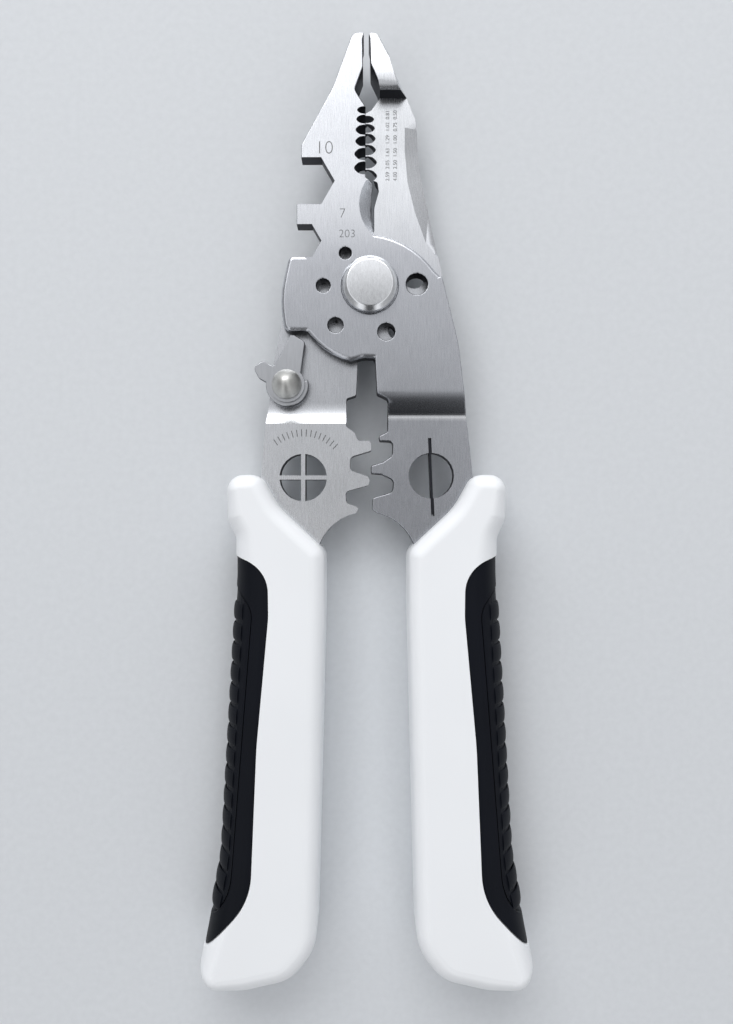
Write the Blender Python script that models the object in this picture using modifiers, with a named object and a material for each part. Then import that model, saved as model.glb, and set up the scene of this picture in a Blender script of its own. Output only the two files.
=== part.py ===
"""Multi-purpose wire stripping and crimping tool, lying closed and latched on its side.

All sizes are in millimetres. The drawing frame has x from the closing line between
the jaws, y from the pivot towards the nose and z from the middle of the two plates.
The front lever carries the left jaw and the right handle. The back lever carries the
right jaw, the left handle and the latch.
"""

import math

import bmesh
import bpy
from mathutils import Matrix, Vector

MM = 0.001  # one millimetre in metres

# Reach of the tool from the pivot
NOSE_REACH = 53.8
HANDLE_REACH = 149.5
PIVOT_OFFSET = 0.7  # the pivot sits this far right of the closing line

# Plates
PLATE = 3.6
LAP_GAP = 0.2  # running gap between the two plates
EDGE = 0.25  # broken edge of a stamped plate
DISC_EDGE = 0.9  # soft edge round the pivot disc
PLATE_FRONT = LAP_GAP / 2 + PLATE
STEP = 41.8  # where each plate becomes a full-thickness nose
# Rolled edge of the back nose: distance beyond the step as a part of the nose, and part of the step's height
STEP_ROLL = ((0.017, 0.75), (0.038, 0.88), (0.083, 0.95), (0.16, 0.985), (0.27, 1.0))
FRONT_JOGGLE = (-22.5, -27.3)
BACK_JOGGLE = (-24.4, -29.1)
JOGGLE_CURVE = 1.6  # power of the bend, soft at the pivot's end and sharp at the arm's
JOGGLE_LINES = 5
JOGGLE_SHIFT = LAP_GAP / 2 + PLATE / 2  # brings an arm to the middle plane

# Clearances
FIT = 0.3  # between pieces that stay together
RUN = 0.15  # between pieces that turn on each other
OVER = 1.0  # how far a cutter runs past a face

# Nut notches in the outer edge of the front jaw
LARGE_HEX = 10.0
LARGE_HEX_AT = (-12.5, 22.2)
SMALL_HEX = 7.0
SMALL_HEX_AT = (-13.6, 9.5)

# Stripping notches: half heights from the nose down, and how they are spaced
STRIP_SIZES = (0.8, 0.95, 1.1, 1.15, 1.35, 1.4)
STRIP_TOP = 37.22
STRIP_LAND = 0.2
STRIP_REACH = 0.75  # half width of a notch beyond STRIP_ASPECT half heights
STRIP_ASPECT = 1.1
STRIP_SHOULDER = (0.5, 0.85)  # bulge of its sides, as parts of the half width and half height
STRIP_SEAT = 0.45  # rounding of the seat, as a part of the half height
FRONT_BITE = 0.75  # front notch at the lap face, against its size outside
BACK_FLARE = 1.35
FRONT_NOTCH_X = -0.6
BACK_NOTCH_X = 0.25
FRONT_TEETH_X = -0.2
BACK_TEETH_X = -0.3

# Wire cutter: each blade is ground by a cone
CUTTER_AT = (7.5, 17.3)
CUTTER_OUTSIDE = 9.07
CUTTER_INSIDE = 6.6

# Pivot
SHANK = 4.0
HEAD = 5.9
HEAD_TOP = 4.9
HEAD_HEIGHT = 2.4
SEAT_DEPTH = 0.5
WASHER = 6.4
WASHER_THICK = 0.8
NUT_FLATS = 10.0
NUT_THICK = 2.5
BOLT_CHAMFER = 0.4

# Torsion spring in its pocket between the plates
SPRING_WIRE = 0.9
SPRING_COIL = 6.0  # mean radius
SPRING_RISE = 1.9
SPRING_TAIL = 9.2
SPRING_START = 220  # degrees round the pivot
SPRING_SWEEP = 560
POCKET_RIM = 0.55
POCKET_DEPTH = 1.5

# Bolt shearing holes in the front plate: centre and radius
SHEAR_HOLES = (
    ((-4.5, 6.9), 1.3),
    ((-9.2, 0.0), 1.5),
    ((-6.6, -8.4), 1.65),
    ((4.2, -9.8), 1.85),
    ((10.7, 0.3), 2.3),
)
RIM_CHAMFER = 0.25  # round the shearing holes and the seat of the pivot head
SHEAR_ANGLE = 14  # degrees that the handles open before the holes line up

# Latch
LATCH_AT = (-17.0, -20.9)
LATCH_DISC = 4.55
LATCH_THICK = 2.3
LATCH_EDGE = 0.2
RIVET_SHANK = 2.0
RIVET_HEAD = 3.2
RIVET_HEIGHT = 2.9
# Parts of the head's radius and height
RIVET_DOME = ((0, 1), (0.24, 0.97), (0.46, 0.86), (0.68, 0.65), (0.86, 0.38), (0.97, 0.14), (1, 0))
RIVET_FOOT = 3.0
RIVET_FOOT_THICK = 0.6
LATCH_WASHER = 3.8
LATCH_WASHER_THICK = 0.5

# Winding holes in the arms
CROSS_AT = (-13.6, -40.7)
CROSS_RADIUS = 5.1
CROSS_BAR = 0.9
SPLIT_AT = (13.9, -40.3)
SPLIT_RADIUS = 4.9
SLIT_LENGTH = 16.8
SLIT_DROP = 0.3  # middle of the slit below the middle of its hole
SLIT_LEAN = 2.4  # degrees
BLADE = 0.45
BLADE_FIT = 0.12
BLADE_SHY = 0.25  # blade stays this far inside each face of the arm

# Round opening below the crimping teeth
ROUND_TOP = -48.1
ROUND_RADIUS = 10.9
ROUND_AT = (0.0, ROUND_TOP - ROUND_RADIUS)

# Handles
TANG_END = 126.0
GRIP_TOP = 40.2
GRIP_THICK = 15.0
GRIP_INNER_ROUND = 3.2
GRIP_OUTER_ROUND = 6.5
GRIP_END_ROUND = 4.0
NARROW_ROUND = 0.46  # largest rounding, as a part of the width, where a grip runs out
GRIP_SEAM = 0.3  # gap between the moulded pieces of a grip
GRIP_STATION = 1.1  # least distance between the sections of a grip
RIB_PITCH = 4.3
RIB_WIDTH = 2.6
RIB_HEIGHT = 0.55
RIB_FIRST = 70.0
RIB_LAST = 131.0

FLATNESS = 0.04  # how far a chord may lie off its arc
LEVEL_SNAP = 0.001  # rounding error in the height of a plate's face

PIVOT_Y = (HANDLE_REACH - NOSE_REACH) / 2
MID_Z = GRIP_THICK / 2
BASE = Vector((0.0, PIVOT_Y, MID_Z)) * MM

bpy.ops.object.select_all(action="DESELECT")
for old in list(bpy.data.objects):
    bpy.data.objects.remove(old, do_unlink=True)

PARTS = bpy.data.collections.new("wire_stripper_crimping_tool")
CUTTERS = bpy.data.collections.new("cutters")
for collection in (PARTS, CUTTERS):
    bpy.context.scene.collection.children.link(collection)


# Outlines

def arc_steps(radius, sweep):
    """Number of chords for an arc of this radius and sweep in radians."""
    chord = 2 * math.acos(max(0.0, 1 - FLATNESS / max(radius, 2 * FLATNESS)))
    return max(1, math.ceil(abs(sweep) / max(chord, math.radians(6))))


def arc(centre, radius, start, end):
    """Corners along an arc, from start to end in degrees."""
    steps = arc_steps(radius, math.radians(end - start))
    turns = [math.radians(start + (end - start) * i / steps) for i in range(steps + 1)]
    return [(centre[0] + radius * math.cos(t), centre[1] + radius * math.sin(t), 0) for t in turns]


def circle(centre, radius):
    """Closed outline of a circle."""
    return [(x, y) for x, y, _ in arc(centre, radius, 0, 360)[:-1]]


def rounded(corners):
    """Closed outline through corners (x, y, fillet radius)."""
    outline = []
    for i, (x, y, radius) in enumerate(corners):
        here = Vector((x, y))
        back = Vector(corners[i - 1][:2]) - here
        ahead = Vector(corners[(i + 1) % len(corners)][:2]) - here
        half = back.angle(ahead) / 2
        if radius <= 0 or half > math.radians(89):
            outline.append((x, y))
            continue
        reach = min(radius / math.tan(half), 0.49 * back.length, 0.49 * ahead.length)
        radius = reach * math.tan(half)
        centre = here + (back.normalized() + ahead.normalized()).normalized() * radius / math.sin(half)
        first = here + back.normalized() * reach - centre
        last = here + ahead.normalized() * reach - centre
        sweep = (math.atan2(last.y, last.x) - math.atan2(first.y, first.x) + math.pi) % math.tau - math.pi
        steps = arc_steps(radius, sweep)
        start = math.atan2(first.y, first.x)
        for k in range(steps + 1):
            turn = start + sweep * k / steps
            outline.append((centre.x + radius * math.cos(turn), centre.y + radius * math.sin(turn)))
    return outline


def area(outline):
    """Signed area, positive where the outline runs anticlockwise."""
    ends = zip(outline, outline[1:] + outline[:1])
    return sum(a[0] * b[1] - b[0] * a[1] for a, b in ends) / 2


def grown(outline, distance):
    """The outline moved outwards by a distance."""
    points = outline if area(outline) > 0 else outline[::-1]
    result = []
    for i, point in enumerate(points):
        here = Vector(point)
        before = (here - Vector(points[i - 1])).normalized()
        after = (Vector(points[(i + 1) % len(points)]) - here).normalized()
        normal = Vector((before.y + after.y, -before.x - after.x)).normalized()
        stretch = max(0.5, normal.dot(Vector((before.y, -before.x))))
        result.append(tuple(here + normal * distance / stretch))
    return result


# Solids

def finish_mesh(mesh):
    """Welds a mesh, turns its faces outwards and shades its round sides smooth."""
    work = bmesh.new()
    work.from_mesh(mesh)
    bmesh.ops.remove_doubles(work, verts=work.verts, dist=0.002 * MM)
    bmesh.ops.recalc_face_normals(work, faces=work.faces)
    work.to_mesh(mesh)
    work.free()
    mesh.shade_smooth()
    mesh.set_sharp_from_angle(angle=math.radians(30))


def add_mesh(name, mesh, collection=PARTS):
    obj = bpy.data.objects.new(name, mesh)
    collection.objects.link(obj)
    if collection is CUTTERS:
        obj.hide_render = True
        obj.display_type = "WIRE"
    return obj


def meshed(obj):
    """Turns a curve object into its mesh, in metres, and removes the object."""
    bpy.context.view_layer.update()
    graph = bpy.context.evaluated_depsgraph_get()
    mesh = bpy.data.meshes.new_from_object(obj.evaluated_get(graph))
    mesh.transform(Matrix.Scale(MM, 4) @ obj.matrix_world)
    mesh.name = obj.name
    bpy.data.objects.remove(obj, do_unlink=True)
    finish_mesh(mesh)
    return mesh


def slab(name, outline, low, high, holes=(), edge=0.0, collection=PARTS):
    """A flat plate cut to an outline, with its rims broken by edge."""
    curve = bpy.data.curves.new(name, "CURVE")
    curve.dimensions = "2D"
    curve.fill_mode = "BOTH"
    curve.extrude = (high - low) / 2 - edge
    curve.bevel_depth = edge
    curve.bevel_resolution = 1 if edge > 0.5 else 0
    curve.offset = -edge
    for points, turn in [(outline, 1)] + [(hole, -1) for hole in holes]:
        if area(points) * turn < 0:
            points = points[::-1]
        spline = curve.splines.new("POLY")
        spline.points.add(len(points) - 1)
        for target, (x, y) in zip(spline.points, points):
            target.co = (x, y, 0, 1)
        spline.use_cyclic_u = True
    guide = bpy.data.objects.new(name, curve)
    PARTS.objects.link(guide)
    guide.location.z = (low + high) / 2
    mesh = meshed(guide)
    for vert in mesh.vertices:  # faces of joined plates have to lie at exactly one height
        for level in (low, high):
            if abs(vert.co.z - level * MM) < LEVEL_SNAP * MM:
                vert.co.z = level * MM
    return add_mesh(name, mesh, collection)


def loft(name, rings, collection=PARTS):
    """A closed solid through rings of equal length, with flat ends."""
    work = bmesh.new()
    rows = [[work.verts.new(Vector(point) * MM) for point in ring] for ring in rings]
    for first, second in zip(rows, rows[1:]):
        for i in range(len(first)):
            j = (i + 1) % len(first)
            work.faces.new((first[i], first[j], second[j], second[i]))
    work.faces.new(rows[0][::-1])
    work.faces.new(rows[-1])
    mesh = bpy.data.meshes.new(name)
    work.to_mesh(mesh)
    work.free()
    finish_mesh(mesh)
    return add_mesh(name, mesh, collection)


def turned(name, profile, centre, collection=PARTS):
    """A solid turned round a vertical line, from a profile of (radius, z) that runs down."""
    mesh = bpy.data.meshes.new(name)
    widest = max(radius for radius, _ in profile)
    points = [(radius * MM, 0, z * MM) for radius, z in profile]
    mesh.from_pydata(points, [(i, i + 1) for i in range(len(points) - 1)], [])
    obj = add_mesh(name, mesh, collection)
    if profile[0][0] > 0:
        mesh.from_pydata([], [(len(points) - 1, 0)], [])
    screw = obj.modifiers.new("turn", "SCREW")
    screw.steps = screw.render_steps = max(16, arc_steps(widest, math.tau))
    screw.use_merge_vertices = True
    screw.merge_threshold = 0.00001
    settle(obj)
    obj.data.transform(Matrix.Translation(Vector((centre[0], centre[1], 0)) * MM))
    finish_mesh(obj.data)
    return obj


def countersunk(name, centre, radius, low):
    """A round cutter that breaks the rim of its hole at the front face."""
    steps = max(16, arc_steps(radius, math.tau))
    turns = [math.tau * i / steps for i in range(steps)]
    levels = (
        (low, radius),
        (PLATE_FRONT - RIM_CHAMFER, radius),
        (PLATE_FRONT + OVER, radius + RIM_CHAMFER + OVER),
    )
    x, y = centre
    rings = [[(x + r * math.cos(t), y + r * math.sin(t), z) for t in turns] for z, r in levels]
    return loft(name, rings, CUTTERS)


def disc(name, centre, radius, low, high, collection=CUTTERS):
    """A round cutter or plate."""
    return slab(name, circle(centre, radius), low, high, collection=collection)


def block(name, low, high, collection=CUTTERS):
    """A box between two opposite corners."""
    outline = [(low[0], low[1]), (high[0], low[1]), (high[0], high[1]), (low[0], high[1])]
    return slab(name, outline, low[2], high[2], collection=collection)


def settle(obj):
    """Applies an object's modifiers to its mesh."""
    bpy.context.view_layer.update()
    graph = bpy.context.evaluated_depsgraph_get()
    mesh = bpy.data.meshes.new_from_object(obj.evaluated_get(graph))
    obj.modifiers.clear()
    obj.data = mesh
    mesh.name = obj.name


def combine(obj, others, operation):
    for other in others:
        change = obj.modifiers.new(other.name, "BOOLEAN")
        change.operation = operation
        change.object = other
    settle(obj)
    for other in others:
        if other.name in PARTS.objects:
            bpy.data.objects.remove(other, do_unlink=True)
    return obj


def cut(obj, *cutters):
    return combine(obj, cutters, "DIFFERENCE")


def joined(obj, *others):
    return combine(obj, others, "UNION")


def kept(obj, region):
    return combine(obj, (region,), "INTERSECT")


def joggle(obj, start, end, shift):
    """Bends a plate up or down by shift between two lines across it."""
    work = bmesh.new()
    work.from_mesh(obj.data)
    for i in range(JOGGLE_LINES):
        y = start + (end - start) * i / (JOGGLE_LINES - 1)
        everything = work.verts[:] + work.edges[:] + work.faces[:]
        bmesh.ops.bisect_plane(work, geom=everything, plane_co=(0, y * MM, 0), plane_no=(0, 1, 0), dist=1e-7)
    for vert in work.verts:
        along = (vert.co.y / MM - start) / (end - start)
        vert.co.z += shift * MM * min(1.0, max(0.0, along)) ** JOGGLE_CURVE
    work.to_mesh(obj.data)
    work.free()
    finish_mesh(obj.data)


# Materials

def material(name, colour, roughness, metallic):
    made = bpy.data.materials.new(name)
    made.use_nodes = True
    shader = made.node_tree.nodes["Principled BSDF"]
    shader.inputs["Base Color"].default_value = (*colour, 1)
    shader.inputs["Roughness"].default_value = roughness
    shader.inputs["Metallic"].default_value = metallic
    made.diffuse_color = (*colour, 1)
    return made


STEEL = material("satin_steel", (0.62, 0.63, 0.65), 0.32, 1.0)
POLISHED = material("polished_steel", (0.72, 0.72, 0.72), 0.22, 1.0)
SPRING_STEEL = material("spring_steel", (0.35, 0.35, 0.36), 0.35, 1.0)
WHITE = material("white_plastic", (0.86, 0.87, 0.88), 0.45, 0.0)
BLACK = material("black_soft_grip", (0.015, 0.016, 0.022), 0.6, 0.0)


# Cutters that several pieces share

def hex_notch(name, centre, flats):
    """A hexagon with one corner to the right, open towards the left."""
    corner = flats / math.sqrt(3)
    x, y = centre
    outline = [
        (x + corner, y),
        (x + corner / 2, y + flats / 2),
        (x - 2 * corner, y + flats / 2),
        (x - 2 * corner, y - flats / 2),
        (x + corner / 2, y - flats / 2),
    ]
    return slab(name, outline, -PLATE_FRONT - OVER, PLATE_FRONT + OVER, collection=CUTTERS)


def notch_outline(size):
    """Outline of one stripping notch: a lying lens with a round seat at each end."""
    wide = STRIP_REACH + size * STRIP_ASPECT
    seat = size * STRIP_SEAT
    x, y = wide * STRIP_SHOULDER[0], size * STRIP_SHOULDER[1]
    upper = [(x, y, size), (0, size, 0), (-x, y, size)]
    lower = [(-x, -y, size), (0, -size, 0), (x, -y, size)]
    return rounded([(wide, 0, seat), *upper, (-wide, 0, seat), *lower])


def strip_notches(prefix, x, lap_z, face_z, lap_scale, face_scale):
    """One tapered cutter for each stripping notch of a plate."""
    cutters = []
    y = STRIP_TOP
    slope = (face_scale - lap_scale) / (face_z - lap_z)
    away = math.copysign(OVER, face_z - lap_z)
    for i, size in enumerate(STRIP_SIZES):
        if i:
            y -= STRIP_SIZES[i - 1] + STRIP_LAND + size
        rings = []
        for z in (lap_z - away, face_z + away):
            scale = lap_scale + slope * (z - lap_z)
            rings.append([(x + scale * px, y + scale * py, z) for px, py in notch_outline(size)])
        cutters.append(loft(f"{prefix}_{i + 1}", rings, CUTTERS))
    return cutters


def cutter_cone(name, side):
    """The cone that grinds one cutting blade, on the front (1) or back (-1) plate."""
    slope = (CUTTER_OUTSIDE - CUTTER_INSIDE) / PLATE
    steps = arc_steps(CUTTER_OUTSIDE, math.tau)
    x, y = CUTTER_AT[0] * side, CUTTER_AT[1]
    rings = []
    for z, radius in ((LAP_GAP / 2, CUTTER_INSIDE), (PLATE_FRONT + OVER, CUTTER_OUTSIDE + slope * OVER)):
        turns = [math.tau * i / steps for i in range(steps)]
        rings.append([(x + radius * math.cos(t), y + radius * math.sin(t), z * side) for t in turns])
    return loft(name, rings, CUTTERS)


def turned_hole(centre, degrees):
    """A place on the tool turned round the pivot."""
    turn = math.radians(degrees)
    x, y = centre[0] - PIVOT_OFFSET, centre[1]
    return (
        PIVOT_OFFSET + x * math.cos(turn) - y * math.sin(turn),
        x * math.sin(turn) + y * math.cos(turn),
    )


def spring_pocket(name, side):
    """Round pocket with a slot for one tail of the spring, in the lap face of a plate."""
    low, high = sorted((0.0, side * (LAP_GAP / 2 + POCKET_DEPTH)))
    rim = SPRING_COIL + SPRING_WIRE / 2 + POCKET_RIM
    pocket = slab(name, circle((PIVOT_OFFSET, 0), rim), low, high, collection=CUTTERS)
    angle = math.radians(SPRING_START + (SPRING_SWEEP if side > 0 else 0))
    along = Vector((math.cos(angle), math.sin(angle)))
    across = Vector((-along.y, along.x)) * (SPRING_WIRE / 2 + FIT)
    hub = Vector((PIVOT_OFFSET, 0))
    near, far = hub + along * SPRING_COIL, hub + along * (SPRING_TAIL + SPRING_WIRE)
    corners = [near - across, far - across, far + across, near + across]
    return joined(pocket, slab(name + "_slot", [tuple(corner) for corner in corners], low, high))


# Outlines of the two levers

ROUND_RIGHT = arc(ROUND_AT, ROUND_RADIUS, 14, 78)
ROUND_LEFT = arc(ROUND_AT, ROUND_RADIUS, 102, 166)

FRONT_JAW = [
    (-0.4, NOSE_REACH, 0.4),
    (-2.9, NOSE_REACH, 1.6),
    (-7.13, 42.2, 20),
    (-13.87, 29.89, 2.0),
    (-13.87, 22.18, 0),
    (-14.85, 22.18, 0),
    (-14.85, 9.4, 0),
    (-11.8, 3.4, 0),
    (1.3, 3.4, 0),
    (1.56, 11.14, 0),
    (1.07, 13.48, 3),
    (0.98, 20.03, 3),
    (1.27, 22.08, 0.3),
    (FRONT_TEETH_X, 22.9, 0.3),
    (FRONT_TEETH_X, 38.0, 0.2),
    (-2.54, 41.62, 1.2),
    (-0.73, 46.5, 0.8),
    (-0.83, 52.36, 0.3),
]

SOFT = 1.2 * DISC_EDGE  # least corner radius that the soft edge can follow

PIVOT_DISC = [
    (0.0, 11.43, 0),
    *arc((-0.7, -7.5), 18.7, 82.7, 35),
    (15.9, 2.0, 0),
    (15.2, -2.93, 0),
    (11.72, -13.67, 0),
    (1.86, -16.51, 0),
    (1.66, -15.34, 0.4),
    (-0.59, -15.24, 2 * SOFT),
    *arc((PIVOT_OFFSET, 0), 16.5, 256, 220),
    (-12.7, -9.67, 0.8),
    (-17.58, -9.57, 1.5 * SOFT),
    (-18.46, -1.95, 25),
    (-16.51, 6.3, SOFT),
    (-9.77, 6.3, 0),
    (-6.84, 11.14, 0),
]

RIGHT_ARM = [
    (16.05, 2.05, 0.3),
    (19.54, -12.21, 30),
    (22.05, -33.03, 30),
    (22.94, -41.93, 6),
    (23.53, -50.83, 6),
    (18.98, -64.67, 10),
    (20.2, -TANG_END, 3),
    (14.6, -TANG_END, 3),
    (13.64, -62.69, 6),
    *ROUND_RIGHT,
    (1.14, -47.47, 0.5),
    (1.29, -45.09, 0.5),
    (5.64, -43.81, 1.2),
    (5.83, -41.14, 1.2),
    (3.36, -40.05, 0.5),
    (0.99, -39.85, 0.4),
    (0.94, -38.17, 0.4),
    (3.56, -37.38, 0.5),
    (5.54, -36.0, 1.1),
    (5.69, -32.93, 0.8),
    (2.87, -32.83, 0.4),
    (2.57, -31.84, 0.4),
    (4.55, -30.86, 0.5),
    (4.59, -24.03, 0.8),
    (2.2, -22.96, 0.5),
    (1.86, -15.82, 0),
    (2.2, -12.8, 0),
    (11.0, -12.0, 0),
    (13.2, -2.5, 0),
    (14.0, 1.2, 0),
]

BACK_LEVER = [
    (0.4, NOSE_REACH, 0.3),
    (2.2, NOSE_REACH, 1.3),
    (8.61, 42.0, 8),
    (10.91, 36.39, 2.0),
    (11.41, 27.19, 20),
    (16.41, 3.37, 1.5),
    (14.51, -6.83, 5),
    (8.01, -12.84, 4),
    (-1.9, -14.04, 0.6),
    (-2.3, -22.74, 0.5),
    (-4.4, -23.44, 0.5),
    (-4.4, -29.77, 0.6),
    (-2.57, -31.05, 0.5),
    (-1.88, -32.83, 0.6),
    (0.89, -32.83, 0.5),
    (1.04, -34.91, 0.4),
    (-3.56, -36.29, 1.2),
    (-3.56, -39.16, 1.0),
    (0.3, -40.45, 0.4),
    (0.69, -41.34, 0.3),
    (0.49, -42.33, 0.4),
    (-4.55, -43.71, 0.9),
    (-4.35, -46.18, 0.8),
    (-1.58, -47.17, 0.4),
    *ROUND_LEFT,
    (-13.64, -62.69, 6),
    (-14.6, -TANG_END, 3),
    (-20.2, -TANG_END, 3),
    (-18.98, -64.67, 10),
    (-23.53, -50.83, 6),
    (-22.74, -41.93, 6),
    (-21.85, -30.86, 20),
    (-20.11, -15.64, 30),
    (-17.41, -2.33, 3),
    (-15.01, 2.67, 3),
    (-9.01, 5.67, 3),
    (-6.0, 10.78, 3),
    (0.5, 11.58, 1.0),
    (1.7, 12.78, 0.5),
    (1.7, 17.98, 3),
    (2.7, 21.48, 1.0),
    (2.4, 23.58, 0.6),
    (BACK_TEETH_X, 24.5, 0.3),
    (BACK_TEETH_X, 38.4, 0.2),
    (1.1, 39.2, 0.3),
    (2.9, 41.7, 0.5),
    (2.64, 43.18, 6),
    (0.88, 46.89, 1.0),
    (0.73, 52.36, 0.5),
]

# Ground bevel along the outside of the right jaw: where it starts, and the edge it falls to
BACK_BEVEL = (
    (37.04, 10.6, 12.5),
    (35.44, 8.3, 12.5),
    (30.34, 8.3, 12.5),
    (23.64, 8.9, 13.0),
    (17.04, 10.5, 14.2),
    (10.34, 12.9, 15.6),
    (8.04, 14.6, 16.6),
    (6.54, 16.6, 17.4),
)
BACK_BEVEL_DROP = 1.5

# Bevel along the outside of its nose, at its end, half way and at the step: where it starts on the front
# face, and where it ends at the lap face
NOSE_BEVEL = ((3.6, 4.0), (5.0, 5.7), (7.5, 9.2))


def cross_quarters():
    """Four quarter-round windows that leave a cross standing in the hole."""
    bar = CROSS_BAR / 2
    edge = math.degrees(math.asin(bar / CROSS_RADIUS))
    quarters = []
    for start in (0, 90, 180, 270):
        rim = arc(CROSS_AT, CROSS_RADIUS, start + edge, start + 90 - edge)
        middle = math.radians(start + 45)
        corner = (
            CROSS_AT[0] + bar * math.sqrt(2) * math.cos(middle),
            CROSS_AT[1] + bar * math.sqrt(2) * math.sin(middle),
        )
        quarters.append([(x, y) for x, y, _ in rim] + [corner])
    return quarters


def make_front_lever():
    low = -PLATE_FRONT
    lever = slab("front_lever", rounded(FRONT_JAW), low, PLATE_FRONT, edge=EDGE)
    hub = slab("front_disc", rounded(PIVOT_DISC), low, PLATE_FRONT, edge=DISC_EDGE)
    arm = slab("front_arm", rounded(RIGHT_ARM), low, PLATE_FRONT, edge=EDGE)
    joined(cut(lever, cutter_cone("front_cutter", 1)), hub, arm)
    far = HANDLE_REACH
    cut(lever, block("front_lap", (-far, -far, low - OVER), (far, STEP, LAP_GAP / 2)))
    cut(
        lever,
        *[countersunk(f"front_hole_{i}", centre, radius, -OVER)
          for i, (centre, radius) in enumerate(SHEAR_HOLES)],
        disc("front_bore", (PIVOT_OFFSET, 0), SHANK + RUN, -OVER, PLATE_FRONT + OVER),
        countersunk("head_seat", (PIVOT_OFFSET, 0), HEAD + RUN, PLATE_FRONT - SEAT_DEPTH),
        spring_pocket("front_pocket", 1),
        hex_notch("large_hex", LARGE_HEX_AT, LARGE_HEX),
        hex_notch("small_hex", SMALL_HEX_AT, SMALL_HEX),
        *strip_notches("front_notch", FRONT_NOTCH_X, LAP_GAP / 2, PLATE_FRONT, FRONT_BITE, 1.0),
    )
    joggle(lever, *FRONT_JOGGLE, -JOGGLE_SHIFT)
    slit = splitter_bar("slit", BLADE / 2 + BLADE_FIT, SLIT_LENGTH, PLATE + 2 * OVER, CUTTERS)
    window = disc("splitter_hole", SPLIT_AT, SPLIT_RADIUS, -PLATE, PLATE)
    return cut(lever, window, slit)


def make_back_lever():
    low, lap = -PLATE_FRONT, -LAP_GAP / 2
    holes = [circle(turned_hole(centre, SHEAR_ANGLE), radius) for centre, radius in SHEAR_HOLES]
    holes += [circle((PIVOT_OFFSET, 0), SHANK + RUN), circle(LATCH_AT, RIVET_SHANK + RUN)]
    lever = slab("back_lever", rounded(BACK_LEVER), low, PLATE_FRONT, edge=EDGE)
    far = HANDLE_REACH
    nose = NOSE_REACH - STEP
    roll = [(STEP + nose * along, lap + (PLATE_FRONT - lap) * part) for along, part in STEP_ROLL]
    top = PLATE_FRONT + OVER
    ramp = [(-far, lap), (STEP, lap), *roll, (roll[-1][0], top), (-far, top)]
    recess = loft("back_lap", [[(x, y, z) for y, z in ramp] for x in (-far, far)], CUTTERS)
    bevel = loft(
        "jaw_bevel",
        [
            [(start, y, lap), (end, y, lap - BACK_BEVEL_DROP), (end, y, OVER), (start, y, OVER)]
            for y, start, end in BACK_BEVEL
        ],
        CUTTERS,
    )
    lean = top / PLATE_FRONT
    rows = (NOSE_REACH + OVER, STEP + nose / 2, STEP - OVER)
    nose_bevel = loft(
        "nose_bevel",
        [
            [(back, y, 0.0), (back - (back - front) * lean, y, top), (far, y, top), (far, y, 0.0)]
            for y, (front, back) in zip(rows, NOSE_BEVEL)
        ],
        CUTTERS,
    )
    cut(
        lever,
        recess,
        nose_bevel,
        *[slab(f"back_hole_{i}", hole, low - OVER, OVER, collection=CUTTERS)
          for i, hole in enumerate(holes)],
        bevel,
        spring_pocket("back_pocket", -1),
        cutter_cone("back_cutter", -1),
        *strip_notches("back_notch", BACK_NOTCH_X, lap, low, 1.0, BACK_FLARE),
    )
    joggle(lever, *BACK_JOGGLE, JOGGLE_SHIFT)
    quarters = cross_quarters()
    return cut(
        lever,
        *[slab(f"cross_{i}", quarter, -PLATE, PLATE, collection=CUTTERS)
          for i, quarter in enumerate(quarters)],
    )


def splitter_bar(name, half, length, thick, collection):
    """The splitter blade's upright bar, or the slit that takes it."""
    lean = math.radians(SLIT_LEAN)
    along = Vector((math.sin(lean), -math.cos(lean))) * length / 2
    across = Vector((math.cos(lean), math.sin(lean))) * half
    middle = Vector(SPLIT_AT) - Vector((0, SLIT_DROP))
    outline = [middle + along + across, middle + along - across,
               middle - along - across, middle - along + across]
    return slab(name, [tuple(p) for p in outline], -thick / 2, thick / 2, collection=collection)


# Pivot pieces

def make_pivot():
    centre = (PIVOT_OFFSET, 0)
    top = PLATE_FRONT + HEAD_HEIGHT
    seat = PLATE_FRONT - SEAT_DEPTH + RUN
    washer_top = -PLATE_FRONT - RUN
    nut_top = washer_top - WASHER_THICK - RUN
    end = nut_top - NUT_THICK
    fall = HEAD - HEAD_TOP
    turned(
        "pivot_bolt",
        [
            (0, top),
            (HEAD_TOP, top),
            (HEAD, top - fall),
            (HEAD, seat),
            (SHANK, seat),
            (SHANK, end + BOLT_CHAMFER),
            (SHANK - BOLT_CHAMFER, end),
            (0, end),
        ],
        centre,
    )
    hole = circle(centre, SHANK + RUN)
    slab("pivot_washer", circle(centre, WASHER), washer_top - WASHER_THICK, washer_top, holes=[hole])
    corner = NUT_FLATS / math.sqrt(3)
    outline = [
        (centre[0] + corner * math.cos(math.radians(a)), corner * math.sin(math.radians(a)))
        for a in range(0, 360, 60)
    ]
    slab("pivot_nut", outline, nut_top - NUT_THICK, nut_top, holes=[hole], edge=EDGE)


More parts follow.
